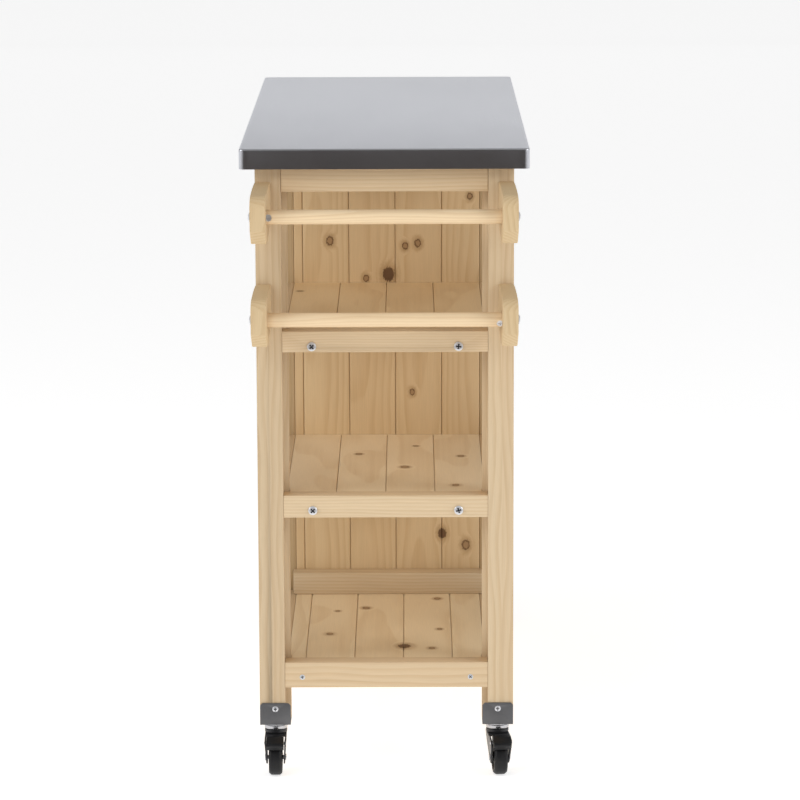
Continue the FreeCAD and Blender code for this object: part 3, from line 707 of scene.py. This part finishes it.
def fastenerTree(name, material, dark):
    tree, start, end = growthTree(name, {label: "Float" for label in headInputs.values()})

    def vector(x=0.0, y=0.0, z=0.0):
        return addNode(tree, "ShaderNodeCombineXYZ", None, s0=x, s1=y, s2=z).outputs[0]

    def moved(geometry, offset):
        return addNode(tree, "GeometryNodeTransform", None, Geometry=geometry, Translation=offset).outputs[0]

    def scaled(value, factor):
        return calc(tree, "MULTIPLY", value, factor)

    def radial():
        # each point's coordinates and its distance from the axis
        spot = tree.nodes.new("GeometryNodeInputPosition").outputs[0]
        parts = addNode(tree, "ShaderNodeSeparateXYZ", None, s0=spot).outputs
        flat = vector(parts[0], parts[1])
        away = addNode(tree, "ShaderNodeVectorMath", {"operation": "LENGTH"}, s0=flat).outputs["Value"]
        return parts, away

    # the head: a disc whose upper face is domed towards its middle
    disc = addNode(tree, "GeometryNodeMeshCylinder", None, Vertices=48, Radius=start["Head Radius"],
                    Depth=start["Head Height"])
    disc.inputs["Fill Segments"].default_value = 18
    parts, away = radial()
    share = calc(tree, "DIVIDE", away, start["Head Radius"])
    drop = calc(tree, "MULTIPLY", calc(tree, "POWER", share, 3.0), start["Dome"])
    upper = addNode(tree, "FunctionNodeCompare", {"data_type": "FLOAT", "operation": "GREATER_THAN"},
                    s0=parts[2], s1=0.0)
    # the cross recess: the points under its two arms are pushed down
    across, along = calc(tree, "ABSOLUTE", parts[0]), calc(tree, "ABSOLUTE", parts[1])
    halfSlot = scaled(start["Slot Width"], 0.5)
    arms = [calc(tree, "MULTIPLY", calc(tree, "LESS_THAN", a, halfSlot),
                 calc(tree, "LESS_THAN", b, start["Recess Reach"]))
            for a, b in ((across, along), (along, across))]
    sunk = calc(tree, "MULTIPLY", calc(tree, "MAXIMUM", *arms), scaled(start["Head Height"], 0.5))
    lowered = scaled(calc(tree, "ADD", drop, sunk), -1.0)
    head = addNode(tree, "GeometryNodeSetPosition", None, Geometry=disc.outputs["Mesh"],
                    Selection=upper.outputs[0], Offset=vector(z=lowered)).outputs[0]
    head = moved(head, vector(z=scaled(start["Head Height"], 0.5)))
    # the shank, just inside the head's underside
    shank = addNode(tree, "GeometryNodeMeshCylinder", None, Vertices=24, Radius=start["Shank Radius"],
                     Depth=start["Shank Length"]).outputs["Mesh"]
    shank = moved(shank, vector(z=scaled(start["Shank Length"], -0.5)))
    join = tree.nodes.new("GeometryNodeJoinGeometry")
    # faces of the recess lie inside its reach and below the head's top
    parts, away = radial()
    inside = calc(tree, "LESS_THAN", away, scaled(start["Recess Reach"], 1.04))
    below = calc(tree, "LESS_THAN", parts[2], scaled(start["Head Height"], 0.86))
    above = calc(tree, "GREATER_THAN", parts[2], scaled(start["Head Height"], 0.1))
    hollow = calc(tree, "MULTIPLY", calc(tree, "MULTIPLY", inside, below), above)
    marked = addNode(tree, "GeometryNodeStoreNamedAttribute", {"data_type": "BOOLEAN", "domain": "FACE"},
                     Geometry=head, Name="inRecess", Value=hollow).outputs[0]
    tree.links.new(shank, join.inputs[0])
    tree.links.new(marked, join.inputs[0])
    turn = addNode(tree, "FunctionNodeAlignRotationToVector", {"axis": "Z"},
                   Vector=named(tree, "facing", "FLOAT_VECTOR")).outputs[0]
    twist = addNode(tree, "FunctionNodeRotateRotation", {"rotation_space": "LOCAL"}, Rotation=turn)
    tree.links.new(vector(z=named(tree, "spin")), twist.inputs[1])
    placed = addNode(tree, "GeometryNodeInstanceOnPoints", None, Points=start["Geometry"],
                      Instance=join.outputs[0], Rotation=twist.outputs[0]).outputs[0]
    real = addNode(tree, "GeometryNodeRealizeInstances", None, Geometry=placed).outputs[0]
    done = addNode(tree, "GeometryNodeSetMaterial", None, Geometry=real, Material=material).outputs[0]
    # the recess faces get the painted recess shade
    done = addNode(tree, "GeometryNodeSetMaterial", None, Geometry=done,
                   Selection=named(tree, "inRecess", "BOOLEAN"), Material=dark).outputs[0]
    tree.links.new(done, end)
    return tree


def pointsObject(name, points, facings, spins):
    mesh = bpy.data.meshes.new(name)
    mesh.from_pydata([tuple(p) for p in points], [], [])
    mesh.attributes.new("facing", "FLOAT_VECTOR", "POINT")
    mesh.attributes.new("spin", "FLOAT", "POINT")
    for k, (direction, angle) in enumerate(zip(facings, spins)):
        mesh.attributes["facing"].data[k].vector = direction
        mesh.attributes["spin"].data[k].value = angle
    holder = bpy.data.objects.new(name, mesh)
    bpy.context.scene.collection.objects.link(holder)
    return holder


def grown(holder, tree, sizes, name, material, body):
    # runs the tree on the holder and keeps the plain mesh
    modifier = holder.modifiers.new("grow", "NODES")
    modifier.node_group = tree
    for item in tree.interface.items_tree:
        if item.in_out == "INPUT" and item.name in sizes:
            modifier[item.identifier] = sizes[item.name]
    depsgraph = bpy.context.evaluated_depsgraph_get()
    mesh = bpy.data.meshes.new_from_object(holder.evaluated_get(depsgraph), depsgraph=depsgraph)
    bpy.data.objects.remove(holder)
    mesh.name = name
    # drop the empty slots that the primitives leave
    used = [mesh.materials[face.material_index] or material for face in mesh.polygons]
    kinds = sorted(set(used), key=lambda each: (each != material, each.name))
    mesh.materials.clear()
    for each in kinds:
        mesh.materials.append(each)
    mesh.polygons.foreach_set("material_index", [kinds.index(each) for each in used])
    mesh.shade_smooth()
    mesh.set_sharp_from_angle(angle=math.radians(32))
    piece = bpy.data.objects.new(name, mesh)
    bpy.context.scene.collection.objects.link(piece)
    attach(piece, body)
    return piece


def fastenerSpots():
    # where each fastener's head rests and which way it faces, by node
    spots = {node: [] for node in heads}
    bearerDrop = 0.021     # from the top of an end rail down to its bolts
    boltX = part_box("shelf_bolts")[1].x - bolt["radius"]
    front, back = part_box("upper_rail_front")[0].y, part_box("upper_rail_back")[1].y
    for level in ("upper", "middle"):
        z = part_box(f"{level}_rail_front")[1].z - bearerDrop
        for x in (-boltX, boltX):
            spots["shelf_bolts"] += [((x, front, z), (0, -1, 0)), ((x, back, z), (0, 1, 0))]
    sunk = 0.0002          # the rail screws' heads start this far under the wood's face
    low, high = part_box("rail_screws")
    screwX, screwZ = high.x - heads["rail_screws"]["radius"], (low.z + high.z) / 2
    for x in (-screwX, screwX):
        spots["rail_screws"] += [((x, low.y + sunk, screwZ), (0, -1, 0)),
                                 ((x, high.y - sunk, screwZ), (0, 1, 0))]
    for row in ("upper", "lower"):
        low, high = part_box(f"towel_rod_{row}")
        y, z = (low.y + high.y) / 2, (low.z + high.z) / 2
        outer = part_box(f"ear_{row}_right")[1].x
        spots["rod_bolts"] += [((outer, y, z), (1, 0, 0)), ((-outer, y, z), (-1, 0, 0))]
    platesLow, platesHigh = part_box("foot_plates")
    low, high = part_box("plate_screws")
    rightLow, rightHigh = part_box("leg_front_right")
    legLow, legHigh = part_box("leg_front_left")
    plateX, screwZ = platesHigh.x - (rightHigh.x - rightLow.x) / 2, (low.z + high.z) / 2
    depth = legHigh.y - legLow.y + 2 * (legLow.y - platesLow.y)
    faces = ((platesLow.y, -1), (platesLow.y + depth, 1), (platesHigh.y - depth, -1), (platesHigh.y, 1))
    for x in (-plateX, plateX):
        spots["plate_screws"] += [((x, y, screwZ), (0, out, 0)) for y, out in faces]
    return spots


def makeFasteners(zinc, recessShade):
    tree = fastenerTree("crossHeadFastener", zinc, recessShade)
    turns = random.Random(11)
    for node, spots in fastenerSpots().items():
        sizes = {headInputs[key]: value for key, value in heads[node].items()}
        spins = [turns.uniform(0, math.pi / 2) for _ in spots]
        places, facings = zip(*spots)
        holder = pointsObject(node + "Points", places, facings, spins)
        piece = grown(holder, tree, sizes, node + "_piece", zinc, "cart")
        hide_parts(node)
    print("fasteners done")


def makeHardware(zinc):
    softened("barrel_nuts", zinc, 0.0003, 1)
    plateGrey = speckled(**finishesAndRecessShade["plate"])
    forkGrey = speckled(**finishesAndRecessShade["fork"])
    raceSteel = speckled(**finishesAndRecessShade["race"])
    rubber = speckled(**finishesAndRecessShade["rubber"])
    plastic = speckled(**finishesAndRecessShade["plastic"])
    softened("foot_plates", plateGrey, 0.0005, 2)
    softened("caster_heads", raceSteel, 0.0003, 1)
    for end in ("front", "back"):
        for side in ("left", "right"):
            tag = f"{end}_{side}"
            softened(f"caster_fork_{tag}", forkGrey, 0.0005, 2)
            softened(f"caster_axle_{tag}", zinc, 0.0004, 2)
            softened(f"caster_wheel_{tag}", rubber, 0.0004, 2)
            softened(f"caster_brake_{tag}", plastic, 0.0007, 2)
    print("casters done")


makeCamera()
makeStudio()
woodenPieces()
makeWorktop(brushedSteel(**worktopSteel))
zinc = speckled(**finishesAndRecessShade["zinc"])
makeFasteners(zinc, speckled(**finishesAndRecessShade["recess"]))
makeHardware(zinc)
